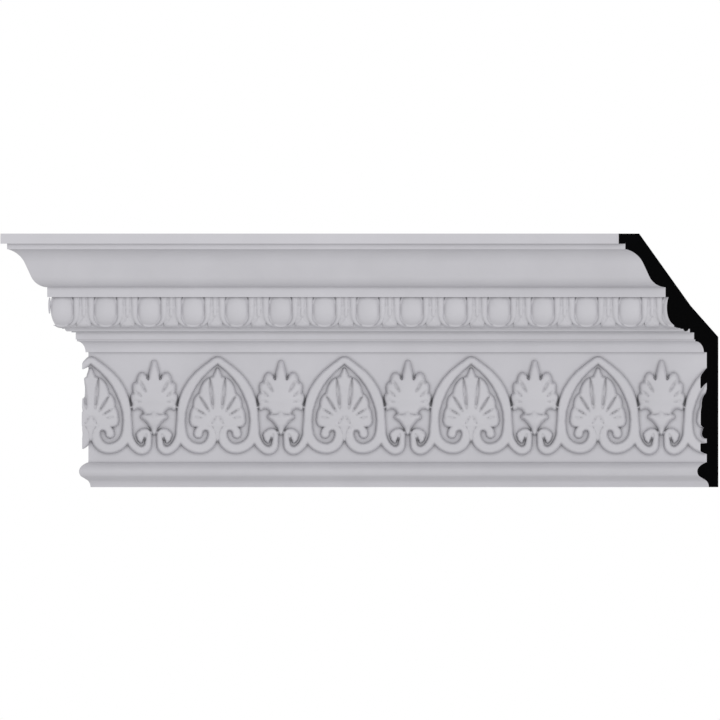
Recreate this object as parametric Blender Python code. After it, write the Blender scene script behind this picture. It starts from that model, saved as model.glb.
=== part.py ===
"""Cornice moulding length, cast in one piece and mitred at both ends.

The length runs along X. Its wall face lies on the plane Y = 0 and its front looks towards -Y.
The origin is the middle of the wall face. "Out" is the distance from the wall, and "up" the
height above the lower edge. The carving is drawn flat, on templates, and laid on the profile.
"""

import math

import bmesh
import bpy
from mathutils import Vector

# Heights of the members, from the ceiling down
FASCIA_HEIGHT = 0.0084
FILLET_HEIGHT = 0.0046
CYMA_HEIGHT = 0.0315
BAND_HEIGHT = 0.0081
OVOLO_HEIGHT = 0.0258
SOFFIT_DROP = 0.0035
NECK_HEIGHT = 0.0073
COVE_HEIGHT = 0.0091
FRIEZE_HEIGHT = 0.0910
TORUS_HEIGHT = 0.0076
FOOT_HEIGHT = 0.0131

# Steps out from the wall, from the foot up
FOOT_THICKNESS = 0.0078
GROUND_THICKNESS = 0.0096
TORUS_REACH = 0.0078
COVE_STEP = 0.0024
COVE_REACH = 0.0071
NECK_STEP = 0.0010
NECK_FILLET = 0.0058
DRIP_STEP = 0.0035
DRIP_DROP = 0.0030
DRIP_GAP = 0.0012
PEARL_RADIUS = 0.0021
OVOLO_STEP = 0.0045
OVOLO_REACH = 0.0118
OVOLO_BELLY = 0.0078
OVOLO_RELIEF = 0.0032
BAND_LIP = 0.0005
CYMA_REACH = 0.0326
FILLET_STEP = 0.0007
FASCIA_STEP = 0.0055

# The S curves: their slopes at the top, middle and foot in a unit square, in degrees,
# and the radius of the lower arc over that of the upper one
CYMA_SLOPES = (15, 66, 3)
CYMA_BALANCE = 0.72
FOOT_SLOPES = (88, 24, 87)
FOOT_BALANCE = 1.4

# How much of a quarter of its ellipse the torus shows above its belly, in degrees
TORUS_ARC = 55

# The back: a wall face, two slanting facets and a ceiling face
CEILING_FACE = 0.0170
WALL_FACE_DROP = 0.0037
NECK_WALL = 0.0126
BAND_WALL = 0.0081

# The length between its two mitres, measured on the wall face
RUN = 0.5120
MITRE = math.radians(45)
TRIM_MARGIN = 0.010

# Where the two patterns start, measured from the left mitre
FRIEZE_PITCH = 0.1050
FIRST_ARCH = 0.0019
EGG_PITCH = 0.0362
FIRST_EGG = 0.0121

# Relief of the carving above its ground
ARCH_RELIEF = 0.0052
SMALL_SCROLL_RELIEF = 0.0049
STEM_RELIEF = 0.0046
LARGE_PALMETTE_RELIEF = 0.0056
SMALL_PALMETTE_RELIEF = 0.0072
CUP_RELIEF = 0.0079
DART_RELIEF = 0.0024
WAIST_FLUTE = 0.0006
WAIST_SHARE = 0.45
RIM_FLUTE = 0.0010
FLANK = 0.0014
SUNK = 0.0015

# Drawing templates of the carving, in their own units: pitch and height
FRIEZE_TEMPLATE = (105.0, 91.0)
OVOLO_TEMPLATE = (36.2, 25.8)

# The palmettes: their reliefs at hub, waist and rim as shares of their height, how far below
# its hub a leaf is drawn, and how much sooner than its end a petal's bulge is over
LARGE_PALMETTE_SHARES = (1.0, 1.0, 0.8)
SMALL_PALMETTE_SHARES = (0.8, 1.0, 0.72)
PALMETTE_FLOOR = 6.0
PETAL_SKEW = 1.35

# The shell round an egg: its radius, its straight sides and how its round foot is flattened
SHELL_RADIUS = 12.9
SHELL_SIDE = 12.0
SHELL_SQUASH = 0.96
SHELL_LIFT = 0.4

# The height of the eggs', shells' and darts' upper ends, above the ovolo, where the band cuts them
OVOLO_DRAWN_TOP = 26.8

# How far a chord may leave a drawn arc, in template units
FINE_CHORD = 0.50
COARSE_CHORD = 1.0

COLOUR_PRIMED = (0.565, 0.558, 0.590, 1.0)
COLOUR_CUT = (0.012, 0.012, 0.012, 1.0)

# Levels between the members, counted up from the lower edge
FRIEZE_FOOT = FOOT_HEIGHT + TORUS_HEIGHT
FRIEZE_TOP = FRIEZE_FOOT + FRIEZE_HEIGHT
COVE_TOP = FRIEZE_TOP + COVE_HEIGHT
NECK_TOP = COVE_TOP + NECK_HEIGHT
OVOLO_FOOT = NECK_TOP + SOFFIT_DROP
BAND_FOOT = OVOLO_FOOT + OVOLO_HEIGHT
CYMA_FOOT = BAND_FOOT + BAND_HEIGHT
CYMA_TOP = CYMA_FOOT + CYMA_HEIGHT
FASCIA_FOOT = CYMA_TOP + FILLET_HEIGHT
TOP = FASCIA_FOOT + FASCIA_HEIGHT
WALL_FACE_TOP = NECK_TOP - WALL_FACE_DROP
ORIGIN_UP = WALL_FACE_TOP / 2

# Distances of the members from the wall
TORUS_OUT = GROUND_THICKNESS + TORUS_REACH
COVE_FOOT_OUT = GROUND_THICKNESS + COVE_STEP
COVE_TOP_OUT = COVE_FOOT_OUT + COVE_REACH
NECK_OUT = COVE_TOP_OUT + NECK_STEP
DRIP_OUT = NECK_OUT + DRIP_STEP
PEARL_OUT = DRIP_OUT + DRIP_GAP + PEARL_RADIUS
OVOLO_OUT = PEARL_OUT + OVOLO_STEP
BAND_OUT = OVOLO_OUT + OVOLO_REACH + BAND_LIP
CYMA_TOP_OUT = BAND_OUT + CYMA_REACH
FILLET_OUT = CYMA_TOP_OUT + FILLET_STEP
FASCIA_OUT = FILLET_OUT + FASCIA_STEP

# The carved flank on the drawing templates
FLANK_DRAWN = FLANK * FRIEZE_TEMPLATE[1] / FRIEZE_HEIGHT


def clear_scene():
    """Start from an empty scene."""
    for thing in list(bpy.data.objects):
        bpy.data.objects.remove(thing, do_unlink=True)


def material(name, colour, roughness):
    """A plain material of the part's own colour."""
    made = bpy.data.materials.new(name)
    made.use_nodes = True
    shader = made.node_tree.nodes["Principled BSDF"]
    shader.inputs["Base Color"].default_value = colour
    shader.inputs["Roughness"].default_value = roughness
    shader.inputs["Metallic"].default_value = 0.0
    made.diffuse_color = colour
    return made


def elliptic_arc(centre, reach, rise, start, stop, steps):
    """Points of an ellipse's arc from the start angle to the stop angle, in degrees."""
    points = []
    for index in range(steps + 1):
        angle = math.radians(start + (stop - start) * index / steps)
        points.append((centre[0] + reach * math.cos(angle), centre[1] + rise * math.sin(angle)))
    return points


def ogee(low, high, angles, balance, steps):
    """An S curve from the high point to the low one: two arcs with a straight between.

    The angles are the slopes at its top, middle and foot, seen in a square one unit wide, and
    the balance is the radius of its lower arc over that of its upper one.
    """
    top, middle, foot = (math.radians(angle) for angle in angles)
    inward = (abs(math.sin(middle) - math.sin(top))
              + balance * abs(math.sin(middle) - math.sin(foot)))
    down = (abs(math.cos(top) - math.cos(middle))
            + balance * abs(math.cos(foot) - math.cos(middle)))
    scale = inward * math.sin(middle) - down * math.cos(middle)
    radius = (math.sin(middle) - math.cos(middle)) / scale
    straight = (inward - down) / scale
    spot = (0.0, 0.0)
    unit = [spot]

    def go(distance, slope):
        return spot[0] + distance * math.cos(slope), spot[1] + distance * math.sin(slope)
    for size, begin, end in ((radius, top, middle), (radius * balance, middle, foot)):
        step = (end - begin) / steps
        for index in range(steps):
            spot = go(2 * size * math.sin(abs(step) / 2), begin + step * (index + 0.5))
            unit.append(spot)
        if begin == top:
            spot = go(straight, middle)
            unit.append(spot)
    reach = high[0] - low[0]
    drop = high[1] - low[1]
    return [(high[0] - reach * x, high[1] - drop * y) for x, y in reversed(unit)]


def line_past(start, corner, wall, side):
    """Direction from the start point of a line that leaves a wall before the corner."""
    away = (corner[0] - start[0], corner[1] - start[1])
    swing = math.asin(wall / math.hypot(*away))
    angle = math.atan2(away[1], away[0]) + side * swing
    return math.cos(angle), math.sin(angle)


def crossing(first, first_way, second, second_way):
    """The point where two lines cross."""
    across = first_way[0] * second_way[1] - first_way[1] * second_way[0]
    gap = (second[0] - first[0], second[1] - first[1])
    along = (gap[0] * second_way[1] - gap[1] * second_way[0]) / across
    return first[0] + along * first_way[0], first[1] + along * first_way[1]


def bed_out(up):
    """Distance from the wall of the bed behind the eggs."""
    share = (up - BAND_FOOT + OVOLO_BELLY) / (OVOLO_HEIGHT - OVOLO_BELLY)
    bulge = math.sqrt(max(0.0, 1 - share * share))
    return OVOLO_OUT + (OVOLO_REACH - OVOLO_RELIEF) * bulge


def front():
    """The front of the profile as (out, up), from the foot to the ceiling."""
    points = ogee((FOOT_THICKNESS, 0.0), (TORUS_OUT, FOOT_HEIGHT), FOOT_SLOPES,
                  FOOT_BALANCE, 3)
    reach = TORUS_REACH / (1 - math.cos(math.radians(TORUS_ARC)))
    rise = TORUS_HEIGHT / math.sin(math.radians(TORUS_ARC))
    points += elliptic_arc((TORUS_OUT - reach, FOOT_HEIGHT), reach, rise, 0, TORUS_ARC, 5)[1:]
    points.append((GROUND_THICKNESS, FRIEZE_TOP))
    points += elliptic_arc((COVE_TOP_OUT, FRIEZE_TOP), -COVE_REACH, COVE_HEIGHT, 0, 90, 5)
    points.append((COVE_TOP_OUT, NECK_TOP - NECK_FILLET))
    points.append((NECK_OUT, NECK_TOP - NECK_FILLET))
    points.append((NECK_OUT, NECK_TOP))
    points.append((DRIP_OUT, NECK_TOP))
    points.append((DRIP_OUT, NECK_TOP + DRIP_DROP))
    pearl = (PEARL_OUT, NECK_TOP + DRIP_DROP)
    points += elliptic_arc(pearl, PEARL_RADIUS, PEARL_RADIUS, 180, 360, 4)
    points.append((OVOLO_OUT, NECK_TOP + DRIP_DROP))
    belly = BAND_FOOT - OVOLO_BELLY
    rise = OVOLO_HEIGHT - OVOLO_BELLY
    last = math.degrees(math.asin(OVOLO_BELLY / rise))
    points += elliptic_arc((OVOLO_OUT, belly), OVOLO_REACH - OVOLO_RELIEF, rise, -90, last, 4)
    points.append((BAND_OUT, BAND_FOOT))
    points.append((BAND_OUT, CYMA_FOOT))
    points += ogee((BAND_OUT, CYMA_FOOT), (CYMA_TOP_OUT, CYMA_TOP), CYMA_SLOPES,
                   CYMA_BALANCE, 4)[1:]
    points.append((FILLET_OUT, CYMA_TOP))
    points.append((FILLET_OUT, FASCIA_FOOT))
    points.append((FASCIA_OUT, FASCIA_FOOT))
    points.append((FASCIA_OUT, TOP))
    return points


def back():
    """The back of the profile as (out, up), from the ceiling down to the lower edge."""
    ceiling = (FASCIA_OUT - CEILING_FACE, TOP)
    wall = (0.0, WALL_FACE_TOP)
    rising = line_past(wall, (NECK_OUT, NECK_TOP), NECK_WALL, 1)
    falling = line_past(ceiling, (BAND_OUT, CYMA_FOOT), BAND_WALL, -1)
    return [ceiling, crossing(wall, rising, ceiling, falling), wall, (0.0, 0.0)]


def stand(x, out, up):
    """A point of the part from its place along, out from the wall and up."""
    return Vector((x, -out, up - ORIGIN_UP))


def mitre_x(out, side):
    """Where a mitre stands along the length: side is -1 at the left end and 1 at the right."""
    return side * RUN / 2 - out * math.tan(MITRE)


def new_object(name, mesh, *materials):
    """Turn a bmesh into an object, with its faces pointing out."""
    bmesh.ops.recalc_face_normals(mesh, faces=mesh.faces)
    data = bpy.data.meshes.new(name)
    mesh.to_mesh(data)
    mesh.free()
    for item in materials:
        data.materials.append(item)
    made = bpy.data.objects.new(name, data)
    bpy.context.scene.collection.objects.link(made)
    return made


def guide(name, mesh, *materials):
    """An object that only shapes another one."""
    made = new_object(name, mesh, *materials)
    made.hide_render = True
    made.display_type = "WIRE"
    return made


def prism(mesh, start, stop):
    """A closed solid between two loops of points of equal count."""
    rings = [[mesh.verts.new(point) for point in loop] for loop in (start, stop)]
    count = len(start)
    for index in range(count):
        after = (index + 1) % count
        mesh.faces.new((rings[0][index], rings[0][after], rings[1][after], rings[1][index]))
    mesh.faces.new(rings[0])
    mesh.faces.new(rings[1])


def plain_length(name, *materials):
    """The uncarved moulding, longer than the finished one at both ends."""
    outline = front()
    outline += [point for point in back() if point not in outline]
    reach = mitre_x(FASCIA_OUT, -1) - TRIM_MARGIN
    start = [stand(reach, out, up) for out, up in outline]
    stop = [stand(-reach, out, up) for out, up in outline]
    mesh = bmesh.new()
    prism(mesh, start, stop)
    return new_object(name, mesh, *materials)


def mitre_block(name, *materials):
    """The block that the finished length is trimmed to, with a mitre at each end."""
    corners = []
    for out, side in ((-TRIM_MARGIN, -1), (-TRIM_MARGIN, 1), (FASCIA_OUT + TRIM_MARGIN, 1),
                      (FASCIA_OUT + TRIM_MARGIN, -1)):
        corners.append((mitre_x(out, side), out))
    mesh = bmesh.new()
    start = [stand(x, out, -TRIM_MARGIN) for x, out in corners]
    stop = [stand(x, out, TOP + TRIM_MARGIN) for x, out in corners]
    prism(mesh, start, stop)
    return guide(name, mesh, *materials)


def frieze_place(axis):
    """How the frieze template stands on its ground, about an axis along the length."""
    wide = FRIEZE_PITCH / FRIEZE_TEMPLATE[0]
    tall = FRIEZE_HEIGHT / FRIEZE_TEMPLATE[1]

    def place(x, z, relief):
        return stand(axis + x * wide, GROUND_THICKNESS + relief, FRIEZE_FOOT + z * tall)
    return place


def ovolo_place(axis):
    """How the egg template stands on the ovolo's bed, about an axis along the length."""
    wide = EGG_PITCH / OVOLO_TEMPLATE[0]
    tall = OVOLO_HEIGHT / OVOLO_TEMPLATE[1]

    def place(x, z, relief):
        up = OVOLO_FOOT + z * tall
        share = (up - BAND_FOOT + OVOLO_BELLY) / (OVOLO_HEIGHT - OVOLO_BELLY)
        swell = math.sqrt(max(0.0, 1 - share * share)) if relief > 0 else 1.0
        return stand(axis + x * wide, bed_out(up) + relief * swell, up)
    return place


def draft(start, heading, moves, chord_gap=FINE_CHORD):
    """A template path from straights and arcs: a list of (x, z, heading).

    A move is (length,) for a straight or (radius, turn) for an arc; a turn is clockwise.
    """
    x, z = start
    path = [(x, z, heading)]
    for size, *turning in moves:
        if not turning:
            x += size * math.cos(heading)
            z += size * math.sin(heading)
            path.append((x, z, heading))
            continue
        turn = math.radians(turning[0])
        steps = max(2, round(abs(turn) / (2 * math.acos(1 - chord_gap / size))))
        for _ in range(steps):
            chord = 2 * size * math.sin(abs(turn) / steps / 2)
            middle = heading - turn / steps / 2
            x += chord * math.cos(middle)
            z += chord * math.sin(middle)
            heading -= turn / steps
            path.append((x, z, heading))
    return path


def spread(path, knots):
    """Values for a path's stations, straight between knots that are evenly shared out on it."""
    along = [0.0]
    for before, after in zip(path, path[1:]):
        along.append(along[-1] + math.dist(before[:2], after[:2]))
    values = []
    for length in along:
        place = length / along[-1] * (len(knots) - 1)
        knot = min(int(place), len(knots) - 2)
        values.append(knots[knot] + (knots[knot + 1] - knots[knot]) * (place - knot))
    return values


def ribbon_section(half, relief):
    """Across a carved ribbon: a flat top between two steep flanks, sunk into the ground."""
    flank = FLANK_DRAWN / 2
    return [(-half - flank, -SUNK), (flank - half, relief), (half - flank, relief),
            (half + flank, -SUNK)]


def egg_section(half, relief):
    """Across an egg: half an ellipse, sunk into the bed."""
    arch = elliptic_arc((0.0, 0.0), -half, relief, 0, 180, 4)
    return [(-half, -SUNK)] + arch + [(half, -SUNK)]


def strip(mesh, path, halves, reliefs, section, place):
    """Sweep a section along a template path, closed at both ends."""
    rings = []
    for (x, z, heading), half, relief in zip(path, halves, reliefs):
        across = (math.sin(heading), -math.cos(heading))
        ring = [mesh.verts.new(place(x + side * across[0], z + side * across[1], height))
                for side, height in section(half, relief)]
        rings.append(ring)
    count = len(rings[0])
    for before, behind in zip(rings, rings[1:]):
        for index in range(count):
            after = (index + 1) % count
            mesh.faces.new((before[index], before[after], behind[after], behind[index]))
    mesh.faces.new(rings[0])
    mesh.faces.new(rings[-1])


def mirrored(path):
    """The same template path on the other side of its axis."""
    return [(-x, z, math.pi - heading) for x, z, heading in path]


def palmette(mesh, hub, lobes, height, shares, place):
    """A leaf fan of lobes about a hub.

    Each lobe gives the angle and the radius where it ends, and how far it bulges beyond the
    straight line between its ends. The shares of the height are the hub's, waist's and rim's.
    """
    reliefs = [height * share for share in shares]
    half = []
    angle, radius = 0.0, lobes[0][1]
    for end_angle, end_radius, bulge in lobes[1:]:
        steps = 3 if end_angle - angle > 21 else 2
        for index in range(steps):
            share = index / steps
            swell = bulge * math.sin(math.pi * min(1.0, share * PETAL_SKEW))
            sunk = 1 if index == 0 and angle > 0 else 0
            half.append((angle + (end_angle - angle) * share,
                         radius + (end_radius - radius) * share + swell, sunk))
        angle, radius = end_angle, end_radius
    half.append((angle, radius, 1))
    outline = [(-a, r, sunk) for a, r, sunk in reversed(half[1:])] + half
    outline.append((180.0, PALMETTE_FLOOR, 1))

    def ring(share, relief, flute, grow):
        made = []
        for degrees, size, sunk in outline:
            turn = math.radians(degrees)
            reach = size * share + grow
            made.append(mesh.verts.new(place(hub[0] + reach * math.sin(turn),
                                             hub[1] + reach * math.cos(turn),
                                             relief - flute * sunk)))
        return made
    flank = FLANK_DRAWN / 2
    centre = mesh.verts.new(place(hub[0], hub[1], reliefs[0]))
    waist = ring(WAIST_SHARE, reliefs[1], WAIST_FLUTE, 0.0)
    rim = ring(1.0, reliefs[2], RIM_FLUTE, -flank)
    foot = ring(1.0, -SUNK, 0.0, flank)
    count = len(outline)
    for index in range(count):
        after = (index + 1) % count
        mesh.faces.new((centre, waist[index], waist[after]))
        mesh.faces.new((waist[index], rim[index], rim[after], waist[after]))
        mesh.faces.new((rim[index], foot[index], foot[after], rim[after]))
    mesh.faces.new(foot)


def arch_limb():
    """Half an arch and its big scroll: path, half widths."""
    path = draft((0.0, 85.1), math.radians(-38), [
        (11.8,), (54.5, 52.3), (7.6,), (15.6, 85.5), (10.9, 109), (5.8, 160.8), (1.6,)])
    halves = spread(path, (2.8, 3.1, 3.8, 4.2, 4.1, 3.3, 4.2, 4.0, 4.0, 4.0, 2.8, 2.8))
    return path, halves


def small_scroll():
    """The small scroll that leaves the arch at its outer side: path, half widths."""
    path = draft((31.7, 31.0), math.radians(-90), [
        (6.8,), (15.6, -58.5), (5.5, -116.3), (7.3,), (3.5, -210)])
    halves = spread(path, (2.2, 2.8, 3.3, 3.1, 3.3, 2.7, 2.3, 2.1, 1.9))
    return path, halves


def arches(axes):
    """All arches with their big scrolls, each as one ribbon from scroll to scroll.

    The first one has no left scroll, because the left mitre cuts it off.
    """
    mesh = bmesh.new()
    limb, halves = arch_limb()
    path = mirrored(limb[:0:-1])
    path = [(x, z, heading + math.pi) for x, z, heading in path]
    path += [(limb[0][0], limb[0][1], 0.0)] + limb[1:]
    widths = halves[:0:-1] + halves
    for axis in axes:
        start = len(limb) - 3 if axis == axes[0] else 0
        reliefs = [ARCH_RELIEF] * (len(path) - start)
        strip(mesh, path[start:], widths[start:], reliefs, ribbon_section, frieze_place(axis))
    return mesh


def small_scrolls(axes):
    """The small scrolls on both sides of every arch."""
    mesh = bmesh.new()
    path, halves = small_scroll()
    for axis in axes:
        for side in (path, mirrored(path)):
            reliefs = [SMALL_SCROLL_RELIEF] * len(side)
            strip(mesh, side, halves, reliefs, ribbon_section, frieze_place(axis))
    return mesh


def palmettes(axes, between):
    """The large palmettes in the arches and the small ones between them."""
    mesh = bmesh.new()
    large = ((0, 43.9), (8, 36.9, 0.4), (33, 27.7, 1.8), (59, 23.4, 1.2), (82, 23.0, 0.5),
             (101, 22.0, 0.9))
    small = ((0, 43.1), (10, 28.7, 0.5), (30, 29.3, 5.0), (47, 23.9, 1.4), (83, 18.1, 1.2),
             (96, 8.5, 0.0))
    for axis in axes:
        palmette(mesh, (0.0, 34.3), large, LARGE_PALMETTE_RELIEF, LARGE_PALMETTE_SHARES,
                 frieze_place(axis))
    for axis in between:
        palmette(mesh, (0.0, 41.7), small, SMALL_PALMETTE_RELIEF, SMALL_PALMETTE_SHARES,
                 frieze_place(axis))
    return mesh


def cups_and_stems(axes, between):
    """The cup under every small palmette and the stem under every large one."""
    mesh = bmesh.new()
    cup = ((42.6, 8.5), (37.2, 11.0), (35.7, 9.4), (33.2, 6.4), (29.9, 4.0), (27.4, 2.9),
           (22.4, 2.4))
    stem = ((38.5, 4.0), (32.0, 5.2), (26.0, 2.6), (18.6, 1.6))
    for shape, relief, places in ((cup, CUP_RELIEF, between), (stem, STEM_RELIEF, axes)):
        path = [(0.0, z, math.radians(-90)) for z, _ in shape]
        halves = [half for _, half in shape]
        fall = spread(path, (0.95, 1.0, 0.75, 0.6) if shape is cup else (1.0, 1.0))
        for axis in places:
            strip(mesh, path, halves, [relief * share for share in fall], ribbon_section,
                  frieze_place(axis))
    return mesh


def egg_half(z):
    """Half the width of an egg at a height of the template."""
    belly, widest, above, below, blunt = 15.6, 8.6, 14.2, 13.9, 2.4
    if z >= belly:
        return widest * math.sqrt(1 - ((z - belly) / above) ** 2)
    return widest * (1 - ((belly - z) / below) ** blunt) ** (1 / blunt)


def eggs(axes):
    """The eggs of the ovolo."""
    mesh = bmesh.new()
    heights = (OVOLO_DRAWN_TOP, 20.5, 13.5, 7.0, 2.6)
    path = [(0.0, z, math.radians(-90)) for z in heights]
    halves = [egg_half(z) for z in heights]
    for axis in axes:
        strip(mesh, path, halves, [OVOLO_RELIEF] * len(path), egg_section, ovolo_place(axis))
    return mesh


def shells(axes):
    """The rim around every egg, open at the top."""
    mesh = bmesh.new()
    moves = [(SHELL_SIDE,), (SHELL_RADIUS, -180), (SHELL_SIDE,)]
    path = draft((-SHELL_RADIUS, OVOLO_DRAWN_TOP), math.radians(-90), moves, COARSE_CHORD)
    turn = OVOLO_DRAWN_TOP - SHELL_SIDE
    path = [(x, z * SHELL_SQUASH + SHELL_LIFT if z < turn else z, heading)
            for x, z, heading in path]
    halves = spread(path, (2.5, 2.4, 1.8, 0.9, 1.8, 2.4, 2.5))
    reliefs = spread(path, (0.85, 0.85, 0.8, 0.95, 0.8, 0.85, 0.85))
    for axis in axes:
        strip(mesh, path, halves, [OVOLO_RELIEF * share for share in reliefs],
              ribbon_section, ovolo_place(axis))
    return mesh


def darts(axes):
    """The dart between every two shells."""
    mesh = bmesh.new()
    shape = ((OVOLO_DRAWN_TOP, 2.6), (16.0, 2.0), (9.5, 1.9), (6.0, 4.4), (1.2, 6.6))
    path = [(0.0, z, math.radians(-90)) for z, _ in shape]
    halves = [half for _, half in shape]
    for axis in axes:
        strip(mesh, path, halves, [DART_RELIEF] * len(path), ribbon_section,
              ovolo_place(axis))
    return mesh


def axes_along(first, pitch, out, reach):
    """Axes of a pattern, from the first one to the last whose reach meets the right mitre."""
    made = []
    axis = first
    while axis - reach < mitre_x(out, 1):
        made.append(axis)
        axis += pitch
    return made


def boolean(body, shape, operation):
    """Unite the body with a guide, or trim it to the guide."""
    step = body.modifiers.new(shape.name, "BOOLEAN")
    step.operation = operation
    step.object = shape
    step.solver = "EXACT"
    step.material_mode = "TRANSFER"


def make_moulding():
    """The whole moulding: the plain length, its carving and its mitres."""
    primed = material("primed_polyurethane", COLOUR_PRIMED, 0.55)
    cut = material("cut_end", COLOUR_CUT, 0.8)
    body = plain_length("cornice_moulding", primed, cut)
    arch_axes = axes_along(mitre_x(GROUND_THICKNESS, -1) + FIRST_ARCH, FRIEZE_PITCH,
                           GROUND_THICKNESS, FRIEZE_PITCH / 2)
    between = [axis + FRIEZE_PITCH / 2 for axis in arch_axes]
    egg_axes = axes_along(mitre_x(BAND_OUT, -1) + FIRST_EGG, EGG_PITCH, OVOLO_OUT,
                          EGG_PITCH / 2)
    dart_axes = [axis + EGG_PITCH / 2 for axis in egg_axes]
    families = (("arches", arches(arch_axes)), ("small_scrolls", small_scrolls(arch_axes)),
                ("palmettes", palmettes(arch_axes, between)),
                ("cups_and_stems", cups_and_stems(arch_axes, between)),
                ("eggs", eggs(egg_axes)), ("shells", shells(egg_axes)),
                ("darts", darts(dart_axes)))
    for name, mesh in families:
        boolean(body, guide(name, mesh, primed), "UNION")
    boolean(body, mitre_block("mitre_block", cut), "INTERSECT")


clear_scene()
make_moulding()
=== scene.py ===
"""A carved cornice length with mitred ends: its fine relief, its finish and a plain stage.

The moulding is drawn as in its solid: "out" is the distance from the wall and "up" the height
above the lower edge. The carving is a height above its ground, worked out on flat templates in
millimetres, of which half a repeat is enough: the other half is its mirror image.
"""

import math
from collections import namedtuple

import bmesh
import bpy
import numpy as np
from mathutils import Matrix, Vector
from mathutils.geometry import delaunay_2d_cdt


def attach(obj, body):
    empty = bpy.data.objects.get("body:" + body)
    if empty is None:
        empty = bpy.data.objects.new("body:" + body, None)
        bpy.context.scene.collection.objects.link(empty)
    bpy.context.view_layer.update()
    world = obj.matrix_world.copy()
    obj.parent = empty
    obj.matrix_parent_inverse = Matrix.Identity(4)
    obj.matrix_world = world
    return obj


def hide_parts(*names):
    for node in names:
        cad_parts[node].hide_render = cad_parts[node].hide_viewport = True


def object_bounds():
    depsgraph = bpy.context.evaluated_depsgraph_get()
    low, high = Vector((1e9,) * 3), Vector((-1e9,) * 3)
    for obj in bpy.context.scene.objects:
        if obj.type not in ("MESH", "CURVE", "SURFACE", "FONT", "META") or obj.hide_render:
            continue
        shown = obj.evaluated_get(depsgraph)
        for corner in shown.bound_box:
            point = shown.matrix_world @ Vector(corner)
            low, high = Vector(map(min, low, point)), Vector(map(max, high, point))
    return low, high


bl_info = {
    "name": "Carved cornice length",
    "version": (1, 0, 0),
    "blender": (4, 5, 0),
    "location": "3D View > Sidebar > Cornice",
    "description": "Builds a carved and mitred cornice length with its finish and stage",
    "category": "Object",
}

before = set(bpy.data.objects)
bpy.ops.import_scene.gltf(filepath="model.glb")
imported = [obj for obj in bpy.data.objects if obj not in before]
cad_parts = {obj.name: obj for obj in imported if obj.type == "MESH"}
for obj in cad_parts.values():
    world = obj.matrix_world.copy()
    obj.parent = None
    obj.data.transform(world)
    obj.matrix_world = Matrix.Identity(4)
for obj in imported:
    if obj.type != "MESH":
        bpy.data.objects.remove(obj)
CAD_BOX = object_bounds()

NODE = "cornice_moulding"

# Heights of the members in metres, from the ceiling down
FASCIA_HEIGHT = 0.0084
FILLET_HEIGHT = 0.0046
CYMA_HEIGHT = 0.0315
BAND_HEIGHT = 0.0081
OVOLO_HEIGHT = 0.0258
SOFFIT_DROP = 0.0035
NECK_HEIGHT = 0.0073
COVE_HEIGHT = 0.0091
FRIEZE_HEIGHT = 0.0910
TORUS_HEIGHT = 0.0076
FOOT_HEIGHT = 0.0131

# Steps out from the wall, from the foot up
FOOT_THICKNESS = 0.0078
GROUND_THICKNESS = 0.0096
TORUS_REACH = 0.0078
COVE_STEP = 0.0024
COVE_REACH = 0.0071
NECK_STEP = 0.0010
NECK_FILLET = 0.0058
DRIP_STEP = 0.0035
DRIP_DROP = 0.0030
DRIP_GAP = 0.0012
PEARL_RADIUS = 0.0021
OVOLO_STEP = 0.0045
OVOLO_REACH = 0.0118
OVOLO_BELLY = 0.0078
OVOLO_RELIEF = 0.0032
BAND_LIP = 0.0005
CYMA_REACH = 0.0326
FILLET_STEP = 0.0007
FASCIA_STEP = 0.0055

# The S curves: their slopes at the top, middle and foot in a unit square, in degrees,
# and the radius of the lower arc over that of the upper one
CYMA_SLOPES = (15, 66, 3)
CYMA_BALANCE = 0.72
FOOT_SLOPES = (88, 24, 87)
FOOT_BALANCE = 1.4

# How much of a quarter of its ellipse the torus shows above its belly, in degrees
TORUS_ARC = 55

# The back and the mitres
CEILING_FACE = 0.0170
WALL_FACE_DROP = 0.0037
NECK_WALL = 0.0126
BAND_WALL = 0.0081
RUN = 0.5120

# The repeats and where they start, from the left mitre
FRIEZE_PITCH = 0.1050
FIRST_ARCH = 0.0019
FRIEZE_REPEATS = 6
EGG_PITCH = 0.0362
FIRST_EGG = 0.0121
EGG_REPEATS = 18

MILLIMETRE = 0.001

# Points along the round members
ROUND_STEPS = 14
CYMA_STEPS = 12
FOOT_STEPS = 7
OVOLO_STATIONS = 400

# How much longer than the finished length the surface is drawn, at each end
END_MARGIN = 0.02

# Height of the frieze's template in millimetres
FRIEZE_DRAWN = 91.0

# How far the carving is let down on its ground, in millimetres
FRIEZE_SET = 0.4
OVOLO_SET = 0.3

# How soon the ovolo's carving rises from its foot
SWELL = 2.4

# Width of a gouge's sloping wall, in millimetres
GOUGE_WALL = 1.6

# The depths where the mesh follows outlines, in millimetres; the last is measured from the
# inner edge of a steep flank
GOUGE_LEVELS = (0.0, 0.7)
OVOLO_LEVELS = (0.0, 0.45, 1.2)
SHOULDER_LEVEL = 0.72

# Half the width of a steep flank's slope as a share of its edge
FLANK_SLOPE = 0.8

# Shoulders: how far in a form is at its full height, in millimetres, and the share of that
# height at the top of its steep flank
SCROLL_SHOULDER = (1.2, 0.88)
STEM_SHOULDER = (1.0, 0.88)
PALMETTE_SHOULDER = (2.0, 0.78)
LEAF_SHOULDER = (2.4, 0.74)
CUP_SHOULDER = (2.2, 0.70)

# Falls: the share of its height that a form loses outwards, and over how many millimetres
PALMETTE_FALL = (0.22, 30.0)
LEAF_FALL = (0.24, 19.0)
CUP_FALL = (0.18, 11.0)

# Height of the stem as a share of the large palmette's
STEM_SHARE = 0.82

# The egg's outline: its belly's height, its half width, its reach above and below the belly and
# how blunt its lower end is; and how flat its crown is
EGG_BELLY = 15.6
EGG_HALF = 9.4
EGG_ABOVE = 16.2
EGG_BELOW = 12.9
EGG_BLUNT = 2.5
EGG_CROWN = 2.4

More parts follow.
